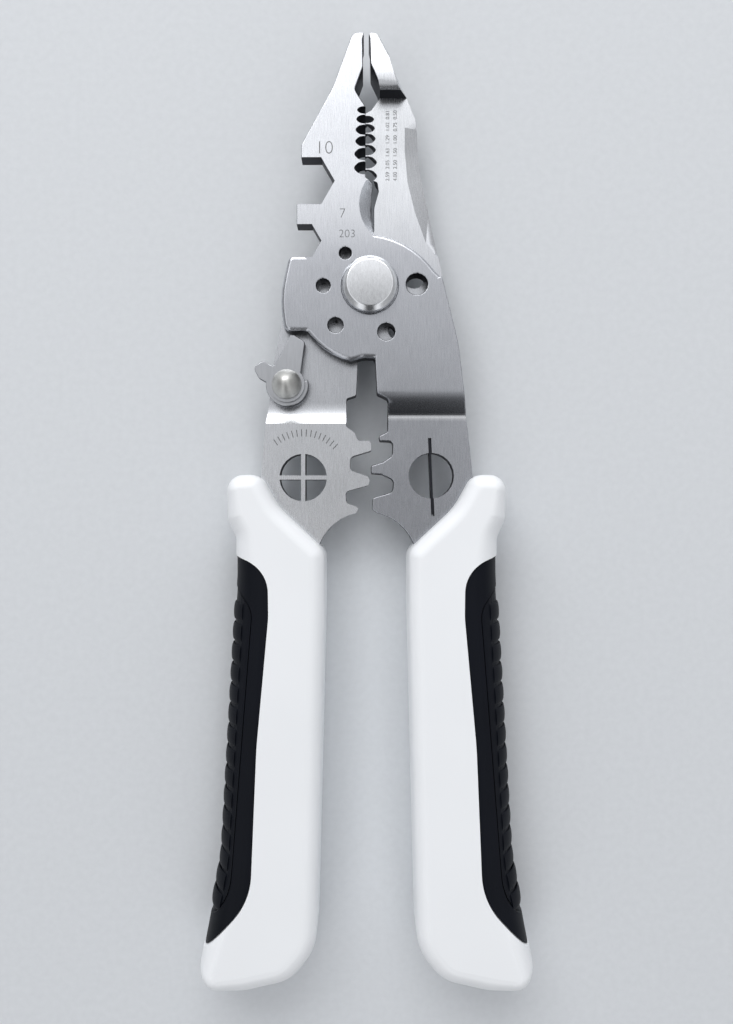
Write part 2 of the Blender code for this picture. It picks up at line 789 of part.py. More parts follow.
def make_spring():
    """Coil with a straight tail at each end, one lying in each plate's pocket."""
    steps = round(SPRING_SWEEP / 20)
    start, finish = math.radians(SPRING_START), math.radians(SPRING_START + SPRING_SWEEP)

    def at(radius, turn, z):
        return (PIVOT_OFFSET + radius * math.cos(turn), radius * math.sin(turn), z)

    low, high = -SPRING_RISE / 2, SPRING_RISE / 2
    points = [at(SPRING_TAIL, start, low)]
    for i in range(steps + 1):
        part = i / steps
        points.append(at(SPRING_COIL, start + (finish - start) * part, low + (high - low) * part))
    points.append(at(SPRING_TAIL, finish, high))
    curve = bpy.data.curves.new("torsion_spring", "CURVE")
    curve.dimensions = "3D"
    curve.bevel_depth = SPRING_WIRE / 2
    curve.bevel_resolution = 2
    curve.use_fill_caps = True
    spline = curve.splines.new("POLY")
    spline.points.add(len(points) - 1)
    for target, point in zip(spline.points, points):
        target.co = (*point, 1)
    guide = bpy.data.objects.new("torsion_spring", curve)
    PARTS.objects.link(guide)
    add_mesh("torsion_spring", meshed(guide))


# Latch pieces

LATCH_OUTLINE = [
    (-16.22, -10.16, 0.3),
    (-19.83, -17.19, 0.8),
    (-21.88, -15.63, 1.0),
    (-24.32, -17.0, 1.1),
    (-23.15, -19.34, 1.0),
    *arc(LATCH_AT, LATCH_DISC, 172, 374),
    (-13.58, -20.22, 0.3),
    (-14.16, -18.66, 0.4),
    (-13.19, -11.72, 0.6),
    (-15.53, -10.16, 1.0),
]


def make_latch():
    low = -LAP_GAP / 2 + FIT
    hole = circle(LATCH_AT, RIVET_SHANK + RUN)
    slab("latch", rounded(LATCH_OUTLINE), low, low + LATCH_THICK, holes=[hole], edge=LATCH_EDGE)
    washer_low = low + LATCH_THICK + RUN
    slab("latch_washer", circle(LATCH_AT, LATCH_WASHER), washer_low, washer_low + LATCH_WASHER_THICK,
         holes=[hole])
    head_low = washer_low + LATCH_WASHER_THICK + RUN
    foot_top = -PLATE_FRONT - RUN
    foot_low = foot_top - RIVET_FOOT_THICK
    turned(
        "latch_rivet",
        [
            *[(RIVET_HEAD * r, head_low + RIVET_HEIGHT * z) for r, z in RIVET_DOME],
            (RIVET_SHANK, head_low),
            (RIVET_SHANK, foot_top),
            (RIVET_FOOT, foot_top),
            (RIVET_FOOT, foot_low),
            (0, foot_low),
        ],
        LATCH_AT,
    )


# Handles

GRIP_OUTLINE = [
    (-30.0, -GRIP_TOP, 4.0),
    (-22.4, -GRIP_TOP, 3.6),
    (-18.6, -47.1, 14),
    (-8.8, -56.3, 3.5),
    (-8.8, -66.9, 60),
    (-10.6, -140.3, 12),
    (-15.8, -147.2, 9),
    (-25.5, -HANDLE_REACH, 14),
    (-36.9, -HANDLE_REACH, 4.8),
    (-31.5, -121.9, 40),
    (-28.1, -61.4, 30),
    (-28.1, -53.7, 3),
    (-29.8, -49.7, 3),
]
PAD_EDGE = [
    (-50.0, -153.0, 0),
    (-24.6, -131.5, 22),
    (-19.9, -69.5, 16),
    (-24.0, -59.0, 12),
    (-50.0, -44.5, 0),
]
INSERT_EDGE = [
    (-50.0, -141.0, 0),
    (-38.5, -138.8, 0),
    (-28.6, -129.2, 9),
    (-23.8, -68.5, 5),
    (-30.5, -60.8, 0),
    (-50.0, -57.0, 0),
]


def crossings(outline, y):
    """Left and right ends of an outline at height y."""
    found = []
    for a, b in zip(outline, outline[1:] + outline[:1]):
        if (a[1] <= y) != (b[1] <= y):
            found.append(a[0] + (b[0] - a[0]) * (y - a[1]) / (b[1] - a[1]))
    return min(found), max(found)


def grip_section(y, left, right, half):
    """Ring round a left grip: a half ellipse outside and rounded corners inside."""
    most = NARROW_ROUND * (right - left)
    outer = min(GRIP_OUTER_ROUND, most)
    inner = min(GRIP_INNER_ROUND, most)
    rise = min(GRIP_INNER_ROUND, 2 * NARROW_ROUND * half)
    ring = []
    for degrees in range(0, 91, 30):
        t = math.radians(degrees)
        ring.append((right - inner + inner * math.cos(t), y, half - rise + rise * math.sin(t)))
    for degrees in range(90, 271, 20):
        t = math.radians(degrees)
        ring.append((left + outer + outer * math.cos(t), y, half * math.sin(t)))
    for degrees in range(270, 361, 30):
        t = math.radians(degrees)
        ring.append((right - inner + inner * math.cos(t), y, -half + rise + rise * math.sin(t)))
    return ring


def grip_body(name, raise_by=0.0):
    """The whole left grip as one loft, its surface raised by a little for the ribs."""
    outline = rounded(GRIP_OUTLINE)
    top = max(y for _, y in outline) - FLATNESS / 2
    bottom = min(y for _, y in outline) + FLATNESS / 2
    ends = [GRIP_END_ROUND * (1 - math.cos(math.radians(a))) for a in (0, 22, 45, 67, 90)]
    levels = [top - d for d in ends] + [bottom + d for d in ends]
    inside = [y for _, y in outline if top - GRIP_END_ROUND > y > bottom + GRIP_END_ROUND]
    stations = sorted(levels, reverse=True)
    for y in sorted(inside, reverse=True):
        if min(abs(y - other) for other in stations) > GRIP_STATION:
            stations = sorted([*stations, y], reverse=True)
    rings = []
    for y in stations:
        left, right = crossings(outline, y)
        depth = min(GRIP_END_ROUND, top - y, y - bottom)
        lost = GRIP_END_ROUND - math.sqrt(GRIP_END_ROUND**2 - (GRIP_END_ROUND - depth) ** 2)
        half = GRIP_THICK / 2 - lost
        rings.append(grip_section(y, left - raise_by, right, half))
    return loft(name, rings)


def region(name, corners, shrink):
    """Everything on the outer side of a seam, drawn back from it by shrink."""
    tall = GRIP_THICK / 2 + OVER
    return slab(name, grown(rounded(corners), -shrink), -tall, tall)


def mirror_mesh(obj):
    obj.data.transform(Matrix.Scale(-1, 4, Vector((1, 0, 0))))
    finish_mesh(obj.data)


def make_grip(side, tang):
    """Shell, soft pad and ribbed insert of one grip; side is left or right."""
    seam = GRIP_SEAM / 2
    shell = cut(grip_body(f"{side}_grip_shell"), region("outside", PAD_EDGE, -seam))
    pad = kept(grip_body(f"{side}_grip_pad"), region("soft", PAD_EDGE, seam))
    cut(pad, region("inlay", INSERT_EDGE, -seam))
    insert = kept(grip_body(f"{side}_grip_insert"), region("inlay", INSERT_EDGE, seam))
    ribs = kept(grip_body("ribs", RIB_HEIGHT), region("inlay", INSERT_EDGE, seam + RIB_HEIGHT / 2))
    far = HANDLE_REACH
    tops = [-RIB_FIRST - i * RIB_PITCH for i in range(int((RIB_LAST - RIB_FIRST) / RIB_PITCH) + 1)]
    grooves = [(top - RIB_PITCH, top - RIB_WIDTH) for top in tops[:-1]]
    grooves += [(tops[0], far), (-far - OVER, tops[-1] - RIB_WIDTH)]
    cut(ribs, *[block(f"{side}_groove_{i}", (-far, low, -far), (far, high, far))
                for i, (low, high) in enumerate(grooves)])
    joined(insert, ribs)
    if side == "right":
        for obj in (shell, pad, insert):
            mirror_mesh(obj)
    pocket = PLATE / 2 + FIT
    cut(shell, slab("tang_pocket", grown(rounded(tang), FIT), -pocket, pocket))
    return shell, pad, insert


# Assembly

def axis_empty(name, place, parent=None):
    empty = bpy.data.objects.new(name, None)
    PARTS.objects.link(empty)
    empty.empty_display_size = 0.01
    empty.location = Vector(place) * MM
    empty.parent = parent
    return empty


def hang(obj, empty, place):
    """Gives an object its origin on an empty, without moving its surface."""
    obj.data.transform(Matrix.Translation(-Vector(place) * MM))
    obj.parent = empty


def assemble():
    make_front_lever()
    make_back_lever()
    splitter_bar("splitter_blade", BLADE / 2, SLIT_LENGTH - 2 * FIT, PLATE - 2 * BLADE_SHY, PARTS)
    make_pivot()
    make_spring()
    make_latch()
    make_grip("left", BACK_LEVER)
    make_grip("right", RIGHT_ARM)

    base = axis_empty("tool_frame", BASE / MM)
    pivot_place = (PIVOT_OFFSET, 0, 0)
    latch_place = (*LATCH_AT, 0)
    pivot = axis_empty("main_pivot_axis", pivot_place, base)
    latch_axis = axis_empty("latch_axis", latch_place, base)
    front = {"front_lever", "splitter_blade", "right_grip_shell", "right_grip_pad", "right_grip_insert"}
    looks = {
        "pivot_bolt": POLISHED,
        "latch_rivet": POLISHED,
        "torsion_spring": SPRING_STEEL,
        "left_grip_shell": WHITE,
        "right_grip_shell": WHITE,
        "left_grip_pad": BLACK,
        "right_grip_pad": BLACK,
        "left_grip_insert": BLACK,
        "right_grip_insert": BLACK,
    }
    for obj in list(PARTS.objects) + list(CUTTERS.objects):
        if obj.type != "MESH":
            continue
        obj.data.materials.clear()
        obj.data.materials.append(looks.get(obj.name, STEEL))
        if obj.name in front:
            hang(obj, pivot, pivot_place)
        elif obj.name == "latch":
            hang(obj, latch_axis, latch_place)
        else:
            hang(obj, base, (0, 0, 0))


assemble()
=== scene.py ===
"""Studio scene of the wire stripper crimping tool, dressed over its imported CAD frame.

Sizes in this file are millimetres in the drawing frame: x from the closing line between
the jaws, y from the pivot towards the nose, z from the middle of the two plates.
"""

import math

import bmesh
import bpy
from mathutils import Matrix, Vector


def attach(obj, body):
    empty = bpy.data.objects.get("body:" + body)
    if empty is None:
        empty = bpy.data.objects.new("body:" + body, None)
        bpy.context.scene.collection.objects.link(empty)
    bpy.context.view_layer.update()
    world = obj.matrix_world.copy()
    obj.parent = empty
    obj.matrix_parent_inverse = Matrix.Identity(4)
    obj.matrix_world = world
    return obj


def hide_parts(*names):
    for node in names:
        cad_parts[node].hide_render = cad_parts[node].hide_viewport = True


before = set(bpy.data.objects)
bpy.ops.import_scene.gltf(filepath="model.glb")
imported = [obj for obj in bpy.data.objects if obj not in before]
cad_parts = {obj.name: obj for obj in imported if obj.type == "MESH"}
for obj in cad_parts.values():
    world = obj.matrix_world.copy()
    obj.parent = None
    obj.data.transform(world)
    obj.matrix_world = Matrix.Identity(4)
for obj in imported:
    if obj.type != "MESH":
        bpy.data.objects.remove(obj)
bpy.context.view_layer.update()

MM = 0.001  # one millimetre in metres
ORIGIN = Vector((0.0, 47.85, 7.5))  # the drawing frame's origin, in millimetres of the scene
PIVOT = (0.7, 0.0)
LATCH_PIN = (-17.0, -20.9)
PLATE_FACE = 3.7  # height of the front plate's face
ARM_FACE = 1.8  # height of an arm's face, below the joggle

FRONT_BODY = "front_half"
BACK_BODY = "back_half"
LATCH_BODY = "latch_plate"

# The photograph was taken from straight above, close enough to show the tool in perspective
CAMERA_HEIGHT = 160.0  # above the middle plane
CAMERA_Y = -48.1
LENS = 25.9
SENSOR = 36.0


def place(x, y, z=0.0):
    """A point of the drawing frame, in metres of the scene."""
    return (Vector((x, y, z)) + ORIGIN) * MM


# Materials

def colour(code):
    """Linear colour from a six-figure sRGB hex code."""
    levels = [int(code[i:i + 2], 16) / 255 for i in (0, 2, 4)]
    return tuple(v / 12.92 if v <= 0.04045 else ((v + 0.055) / 1.055) ** 2.4 for v in levels) + (1.0,)


def add_node(tree, kind, settings=None, links=None):
    """One shader or geometry node, with its settings and its inputs.

    A setting's name is an attribute, or an input's name or number. A link is a socket.
    """
    made = tree.nodes.new(kind)
    for key, value in (settings or {}).items():
        if isinstance(key, int):
            made.inputs[key].default_value = value
        elif hasattr(made, key):
            setattr(made, key, value)
        else:
            made.inputs[key].default_value = value
    for key, socket in (links or {}).items():
        tree.links.new(socket, made.inputs[key])
    return made


def new_material(name):
    """An empty material with its Principled shader and object coordinates."""
    made = bpy.data.materials.new(name)
    made.use_nodes = True
    tree = made.node_tree
    shader = tree.nodes["Principled BSDF"]
    where = add_node(tree, "ShaderNodeTexCoord").outputs["Object"]
    return made, tree, shader, where


def set_stops(elements, stops):
    """Gives a row of colour stops their places and hex colours."""
    while len(elements) < len(stops):
        elements.new(0.5)
    for element, (at, code) in zip(elements, stops):
        element.position = at
        element.color = colour(code)


PATCH = 9.0  # size of the broad patches on a large steel face
SCRATCH_SHADE = (0.93, 1.05)  # how far a scratch darkens or lightens the steel
PATCH_SHADE = (0.96, 1.03)


def steel(name, tones, roughness, grain=(0.16, 3.5), depth=0.02):
    """Nickel-plated steel, brushed lengthwise.

    Tones are (y in millimetres, hex colour) stops along the piece. The grain is a scratch's width and
    length in millimetres, which gives the flat faces their fine upright lines and blurs what they
    mirror. It is drawn coarser than a real scratch, so that it shows. Broad patches keep a large face
    from looking even.
    """
    made, tree, shader, where = new_material(name)
    width, length = grain
    stretched = add_node(tree, "ShaderNodeMapping", {"Scale": (1 / width, 1 / length, 1 / width)},
                         {"Vector": where})
    scratch = add_node(tree, "ShaderNodeTexNoise", {"Scale": 1 / MM, "Detail": 4.0, "Roughness": 0.65},
                       {"Vector": stretched.outputs["Vector"]}).outputs["Fac"]
    cloud = add_node(tree, "ShaderNodeTexNoise", {"Scale": 1 / (PATCH * MM), "Detail": 3.0},
                     {"Vector": where}).outputs["Fac"]
    along = add_node(tree, "ShaderNodeSeparateXYZ", links={"Vector": where}).outputs["Y"]
    low, high = tones[0][0], tones[-1][0]
    ends = {"From Min": (low + ORIGIN.y) * MM, "From Max": (high + ORIGIN.y) * MM}
    at = add_node(tree, "ShaderNodeMapRange", ends, {"Value": along})
    plating = add_node(tree, "ShaderNodeValToRGB", links={"Fac": at.outputs["Result"]})
    set_stops(plating.color_ramp.elements, [((y - low) / (high - low), code) for y, code in tones])
    for fleck, (darkest, lightest) in ((scratch, SCRATCH_SHADE), (cloud, PATCH_SHADE)):
        levels = {"From Min": 0.3, "From Max": 0.7, "To Min": darkest, "To Max": lightest}
        shade = add_node(tree, "ShaderNodeMapRange", levels, {"Value": fleck})
        plating = add_node(tree, "ShaderNodeHueSaturation",
                           links={"Color": plating.outputs["Color"], "Value": shade.outputs["Result"]})
    tree.links.new(plating.outputs["Color"], shader.inputs["Base Color"])
    haze = add_node(tree, "ShaderNodeMapRange", {"To Min": roughness - 0.04, "To Max": roughness + 0.06},
                    {"Value": scratch})
    tree.links.new(haze.outputs["Result"], shader.inputs["Roughness"])
    bump = add_node(tree, "ShaderNodeBump", {"Strength": 0.2, "Distance": depth * MM}, {"Height": scratch})
    tree.links.new(bump.outputs["Normal"], shader.inputs["Normal"])
    shader.inputs["Metallic"].default_value = 1.0
    return made


# The front lever's tone is lighter over the jaw than over its disc and arm. Its joggle ramp is
# painted dark as painted shade, with a bright lip below it that is a painted highlight.
FRONT_STEEL_WITH_PAINTED_SHADE = steel("nickel_plated_front_lever", (
    (-62.0, "B4B6BB"), (-28.3, "BABCC1"), (-27.9, "F6F7F9"), (-27.5, "F6F7F9"), (-27.2, "696B70"),
    (-24.0, "85878C"), (-22.0, "BEC0C5"), (6.0, "C5C7CC"), (15.0, "DADCE0"), (22.0, "DEE0E4"),
    (32.0, "D3D5D9"), (55.0, "CCCED2")), 0.26)
# The back lever is painted lighter from its joggle down its arm, a painted highlight over the joggle itself
BACK_STEEL_WITH_PAINTED_HIGHLIGHT = steel("nickel_plated_back_lever", (
    (-62.0, "EEEFF1"), (-29.0, "E4E6E9"), (-24.0, "D2D4D8"), (4.0, "DADCE0"), (24.0, "E4E6E9"),
    (31.0, "D2D4D7"), (40.0, "CED0D3"), (46.0, "DEE0E3"), (55.0, "E4E6E9")), 0.26)
# The latch is pressed from thinner strip and has a duller plating
LATCH_STEEL = steel("nickel_plated_latch", ((-25.0, "BEC0C3"), (-8.0, "C4C6CA")), 0.3)
# Turned heads show no lengthwise lines, only a fine even haze
HEAD_STEEL = steel("turned_bolt_steel", ((-10.0, "E4E6E8"), (10.0, "ECEDEF")), 0.22, grain=(0.3, 0.9),
                   depth=0.01)
# A rivet's head is rolled over cold, which leaves a softer, yellower sheen than turning
RIVET_STEEL = steel("rolled_rivet_steel", ((-25.0, "C6C6C3"), (-17.0, "D0D0CC")), 0.42, grain=(0.4, 0.4),
                    depth=0.01)
# Zinc plating is greyer and duller than nickel
HIDDEN_STEEL = steel("zinc_plated_hidden_steel", ((-25.0, "B4B6BA"), (10.0, "BCBEC2")), 0.34,
                     grain=(0.3, 0.6))
# Spring wire is left dark and oiled, with fine lines from drawing
SPRING_STEEL = steel("oiled_spring_steel", ((-10.0, "77787B"), (10.0, "84858A")), 0.3, grain=(0.1, 0.5))
# Sheared walls of the stamped plates: matt, and painted nearly black as painted shade on the upright walls
PAINTED_SHADE_STEEL = steel("sheared_edge_of_plate", ((-62.0, "34353A"), (55.0, "3C3D42")), 0.45, grain=(0.2, 0.2))


MOULD_PATCH = 25.0  # size of the faint changes of tone across a moulding


def moulded_plastic(name, light, dark, roughness, grit, depth, gloss=0.5):
    """Moulded plastic with the fine spark-eroded grit of its mould, grit millimetres across.

    The grit is drawn coarser than the real one, so that it shows.
    """
    made, tree, shader, where = new_material(name)
    fine = add_node(tree, "ShaderNodeTexNoise", {"Scale": 1 / (grit * MM), "Detail": 2.0}, {"Vector": where})
    broad = add_node(tree, "ShaderNodeTexNoise", {"Scale": 1 / (MOULD_PATCH * MM), "Detail": 2.0},
                     {"Vector": where})
    tint = add_node(tree, "ShaderNodeValToRGB", links={"Fac": broad.outputs["Fac"]})
    set_stops(tint.color_ramp.elements, ((0.3, dark), (0.7, light)))
    tree.links.new(tint.outputs["Color"], shader.inputs["Base Color"])
    sheen = add_node(tree, "ShaderNodeMapRange", {"To Min": roughness - 0.05, "To Max": roughness + 0.05},
                     {"Value": fine.outputs["Fac"]})
    tree.links.new(sheen.outputs["Result"], shader.inputs["Roughness"])
    shader.inputs["Specular IOR Level"].default_value = gloss
    bump = add_node(tree, "ShaderNodeBump", {"Strength": 0.25, "Distance": depth * MM},
                    {"Height": fine.outputs["Fac"]})
    tree.links.new(bump.outputs["Normal"], shader.inputs["Normal"])
    return made


# A laser leaves a thin dull oxide on the plating, a plain mid grey
ETCHED = steel("laser_etched_oxide", ((-62.0, "6A6B6B"), (55.0, "707171")), 0.6, grain=(0.1, 0.1))

# Filled polypropylene: a cool white that looks satin, because the grit scatters its gloss
WHITE_SHELL = moulded_plastic("satin_white_polypropylene", "F7F9FB", "F4F6F8", 0.42, 0.3, 0.02)
# Thermoplastic rubber: nearly black with a blue cast, matt, with a soft broad sheen
SOFT_PAD = moulded_plastic("black_thermoplastic_rubber", "10131B", "0D1016", 0.5, 0.25, 0.03, gloss=0.12)


# Making objects and meshes

MERGE = 0.002  # points of a solid nearer than this are one
HAIR = 0.001  # points of a fine piece nearer than this are one, and an edge this short goes


def put(name, data):
    """A new object in the scene."""
    made = bpy.data.objects.new(name, data)
    bpy.context.scene.collection.objects.link(made)
    return made


def mesh_of(work, name):
    """The finished mesh of a bmesh, which is let go."""
    mesh = bpy.data.meshes.new(name)
    work.to_mesh(mesh)
    work.free()
    return mesh


# Pieces taken over from the CAD solids

LEVEL = 0.6  # degrees between faces of one flat patch
FLAT_PIECE = 40.0  # square millimetres: a flat patch this large keeps its own shading
STRIP = 8.0  # square millimetres: a patch this large blends only with what lies nearly level with it
STRIP_BEND = 13.0  # degrees
BACK_BEND = (-24.4, -29.1, 33.0)  # the back joggle: where it starts and ends, and its slope in degrees
UPRIGHT = 0.25  # a wall is upright where its normal rises less than this


def patches(work, bend):
    """Groups the faces of a mesh into flat patches: a patch number for each face, and each patch's area."""
    number, areas = {}, []
    for first in work.faces:
        if first.index in number:
            continue
        number[first.index] = len(areas)
        total, waiting = 0.0, [first]
        while waiting:
            face = waiting.pop()
            total += face.calc_area()
            for edge in face.edges:
                for other in edge.link_faces:
                    if other.index not in number and face.normal.angle(other.normal, 9) < bend:
                        number[other.index] = len(areas)
                        waiting.append(other)
        areas.append(total / MM**2)
    return number, areas


def soften_bend(mesh, normals, start, end, steepest):
    """Makes a bend across a plate, between two places on y, begin softly and end at its steepest."""
    for face in mesh.polygons:
        # Only the upper faces of the bend itself
        y = face.center.y / MM - ORIGIN.y
        if not end < y < start or face.normal.z < 0.6 or abs(face.normal.x) > 0.05:
            continue
        for corner in face.loop_indices:
            y = mesh.vertices[mesh.loops[corner].vertex_index].co.y / MM - ORIGIN.y
            part = max(0.0, min(1.0, (start - y) / (start - end)))
            tilt = math.radians(steepest) * part**1.5
            normals[corner] = Vector((0, math.sin(tilt), math.cos(tilt)))


def shade_plate(mesh, crease, bend_at=None):
    """Shades the narrow edges of a plate round and leaves its flat faces flat."""
    work = bmesh.new()
    work.from_mesh(mesh)
    work.faces.ensure_lookup_table()
    number, areas = patches(work, math.radians(LEVEL))
    normals = []
    for face in work.faces:
        for loop in face.loops:
            if areas[number[face.index]] > FLAT_PIECE:
                normals.append(face.normal.copy())
                continue
            bend = math.radians(STRIP_BEND) if areas[number[face.index]] > STRIP else crease
            near = [f for f in loop.vert.link_faces if f.normal.angle(face.normal, 9) < bend]
            largest = max(near, key=lambda f: areas[number[f.index]])
            if areas[number[largest.index]] > FLAT_PIECE:
                normals.append(largest.normal.copy())
            else:
                mixed = Vector()
                for other in near:
                    mixed += other.normal * other.calc_area()
                normals.append(mixed.normalized() if mixed.length else face.normal.copy())
    work.free()
    mesh.shade_smooth()
    if bend_at:
        soften_bend(mesh, normals, *bend_at)
    mesh.normals_split_custom_set(normals)


def link(name, mesh, *finishes):
    """An object in the scene for a mesh, with its finishes."""
    mesh.name = name
    mesh.materials.clear()
    for finish in finishes:
        mesh.materials.append(finish)
    return put(name, mesh)


def smooth_copy(node, name, *finishes, crease=50.0, bend_at=None):
    """A copy of a CAD solid with its doubles merged and its edges shaded round.

    Where a second finish is given, the upright walls take it.
    """
    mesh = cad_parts[node].data.copy()
    mesh.name = name
    work = bmesh.new()
    work.from_mesh(mesh)
    bmesh.ops.remove_doubles(work, verts=work.verts, dist=MERGE * MM)
    bmesh.ops.dissolve_degenerate(work, edges=work.edges, dist=HAIR * MM)
    work.to_mesh(mesh)
    work.free()
    shade_plate(mesh, math.radians(crease), bend_at)
    piece = link(name, mesh, *finishes)
    for face in mesh.polygons:
        face.material_index = int(len(finishes) > 1 and abs(face.normal.z) < UPRIGHT)
    return piece


def dress(piece, body, node):
    """Makes a piece ride on a body in place of a CAD solid."""
    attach(piece, body)
    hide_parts(node)


dress(smooth_copy("front_lever", "front_lever_plate", FRONT_STEEL_WITH_PAINTED_SHADE, PAINTED_SHADE_STEEL),
      FRONT_BODY, "front_lever")
dress(smooth_copy("back_lever", "back_lever_plate", BACK_STEEL_WITH_PAINTED_HIGHLIGHT, PAINTED_SHADE_STEEL, bend_at=BACK_BEND),
      BACK_BODY, "back_lever")
dress(smooth_copy("latch", "latch_plate_pressed", LATCH_STEEL, PAINTED_SHADE_STEEL),
      LATCH_BODY, "latch")

# Solids whose shape is right, with the finish that each one shows
CARRIED = {
    # The splitter blade takes the nearly black finish, painted shade for its place in the slot
    "splitter_blade": PAINTED_SHADE_STEEL,
    "pivot_washer": HIDDEN_STEEL,
    "pivot_nut": HIDDEN_STEEL,
    "torsion_spring": SPRING_STEEL,
    "latch_washer": LATCH_STEEL,
}
for node, finish in CARRIED.items():
    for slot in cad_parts[node].material_slots:
        slot.material = finish


# Turned pieces

ROUND_STEPS = 128
TURNED_CREASE = 35.0  # degrees


def turned(name, profile, centre, finish):
    """A solid turned round an upright line, from a profile of (radius, z) that runs down."""
    work = bmesh.new()
    verts = [work.verts.new(place(centre[0] + radius, centre[1], z)) for radius, z in profile]
    edges = [work.edges.new(pair) for pair in zip(verts, verts[1:])]
    bmesh.ops.spin(work, geom=verts + edges, cent=place(*centre), axis=(0, 0, 1), angle=math.tau,
                   steps=ROUND_STEPS, use_merge=True)
    bmesh.ops.remove_doubles(work, verts=work.verts, dist=HAIR * MM)
    bmesh.ops.recalc_face_normals(work, faces=work.faces)
    mesh = mesh_of(work, name)
    mesh.shade_smooth()
    mesh.set_sharp_from_angle(angle=math.radians(TURNED_CREASE))
    return link(name, mesh, finish)


def softened(profile, radius):
    """A profile with its corners rounded off by three chords each."""
    result = [profile[0]]
    for before, corner, after in zip(profile, profile[1:], profile[2:]):
        here = Vector(corner)
        back, ahead = Vector(before) - here, Vector(after) - here
        reach = min(radius, 0.45 * back.length, 0.45 * ahead.length)
        first, last = here + back.normalized() * reach, here + ahead.normalized() * reach
        for part in (0.0, 0.33, 0.67, 1.0):
            result.append(tuple(first.lerp(here, part).lerp(here.lerp(last, part), part)))
    return [*result, profile[-1]]


BOLT_PROFILE = (
    (0, 6.1), (4.9, 6.1), (5.88, 5.1), (5.88, 3.36), (4.0, 3.36), (4.0, -6.9), (3.6, -7.3), (0, -7.3),
)
RIVET_PROFILE = (
    (0, 6.35), (0.7, 6.25), (1.4, 5.85), (2.1, 5.2), (2.7, 4.45), (3.1, 3.7), (3.2, 3.3), (2.0, 3.3),
    (2.0, -3.85), (3.0, -3.85), (3.0, -4.45), (0, -4.45),
)
dress(turned("pivot_bolt_turned", softened(BOLT_PROFILE, 0.22), PIVOT, HEAD_STEEL),
      BACK_BODY, "pivot_bolt")
dress(turned("latch_rivet_domed", softened(RIVET_PROFILE, 0.6), LATCH_PIN, RIVET_STEEL),
      BACK_BODY, "latch_rivet")


# Grips

GRIP_HALF = 7.5  # half the thickness of a grip
HANDLE_REACH = 149.48
GRIP_TOP = 40.2
GRIP_OUTLINE = (
    (-30.0, -GRIP_TOP, 4.0),
    (-22.4, -GRIP_TOP, 3.6),
    (-18.6, -47.1, 14),
    (-8.8, -56.3, 3.5),
    (-8.8, -66.9, 60),
    (-10.6, -140.3, 12),
    (-15.8, -147.2, 9),
    (-25.5, -HANDLE_REACH, 14),
    (-36.65, -HANDLE_REACH, 4.8),
    (-31.5, -121.9, 40),
    (-28.1, -61.4, 30),
    (-28.1, -53.7, 3),
    (-29.8, -49.7, 3),
)
PAD_EDGE = (
    (-50.0, -157.8, 0),
    (-24.2, -128.8, 15),
    (-22.9, -97.0, 100),
    (-20.45, -70.0, 20),
    (-20.6, -59.8, 9),
    (-50.0, -49.9, 0),
)
INSERT_EDGE = (
    (-50.0, -141.0, 0),
    (-38.5, -138.8, 0),
    (-28.6, -129.2, 13),
    (-23.8, -68.5, 5),
    (-30.5, -60.8, 0),
    (-50.0, -57.0, 0),
)
TANG = ((-13.3, -62.69), (-14.3, -126.3), (-20.5, -126.3), (-19.28, -64.67), (-23.9, -50.83), (-23.1, -39.0),
        (-13.0, -39.0), (-9.5, -52.5))
TANG_HALF = 2.1
SHELL_SEAM = 0.1  # how far each moulding stays back from a seam
PAD_SHRINK = 0.22  # how far the pad lies below the shell
INSERT_SHRINK = 0.4
INNER_ROUND = 3.2
OUTER_ROUND = 6.4
PALM_GAIN = 1.3  # how soon an edge that turns outwards is as round as the palm
END_SHARE = 0.5  # how nearly the rear end is as round as the palm
REAR_FROM = -120.0
PALM_BLEND = 60  # passes that smooth the change from tight to round
BEND_BLEND = 6
REACH_BLEND = 20
REACH_LIMIT = 0.8  # most that an edge rolls in, as a share of the outline's own radius
REACH_SLOPE = 0.16  # most that the roll changes along the outline
GRIP_CREASE = 35.0  # degrees


def rounded(corners, chord=0.6):
    """Closed outline through corners (x, y, fillet radius), in points about a chord apart."""
    outline = []
    for i, (x, y, radius) in enumerate(corners):
        here = Vector((x, y))
        back = Vector(corners[i - 1][:2]) - here
        ahead = Vector(corners[(i + 1) % len(corners)][:2]) - here
        half = back.angle(ahead) / 2
        if radius <= 0 or half > math.radians(89):
            outline.append(here)
            continue
        reach = min(radius / math.tan(half), 0.49 * back.length, 0.49 * ahead.length)
        radius = reach * math.tan(half)
        centre = here + (back.normalized() + ahead.normalized()).normalized() * radius / math.sin(half)
        first = here + back.normalized() * reach - centre
        last = here + ahead.normalized() * reach - centre
        start = math.atan2(first.y, first.x)
        sweep = (math.atan2(last.y, last.x) - start + math.pi) % math.tau - math.pi
        steps = max(2, math.ceil(abs(sweep) * radius / chord))
        for k in range(steps + 1):
            turn = start + sweep * k / steps
            outline.append(centre + Vector((math.cos(turn), math.sin(turn))) * radius)
    return outline


def resampled(outline, count):
    """A closed outline as this many evenly spaced points."""
    ends = outline + outline[:1]
    lengths = [0.0]
    for a, b in zip(ends, ends[1:]):
        lengths.append(lengths[-1] + (b - a).length)
    points, at = [], 0
    for i in range(count):
        target = lengths[-1] * i / count
        while lengths[at + 1] < target:
            at += 1
        part = (target - lengths[at]) / max(lengths[at + 1] - lengths[at], 1e-9)
        points.append(ends[at].lerp(ends[at + 1], part))
    return points


def smooth_ring(values, passes):
    """A closed ring of numbers, averaged with their neighbours."""
    count = len(values)
    for _ in range(passes):
        values = [(values[i - 1] + 2 * values[i] + values[(i + 1) % count]) / 4 for i in range(count)]
    return values


GRIP_RING = 480  # points round a grip's outline
EDGE_TURNS = tuple(range(-90, 91, 10))  # degrees round the rolled edge


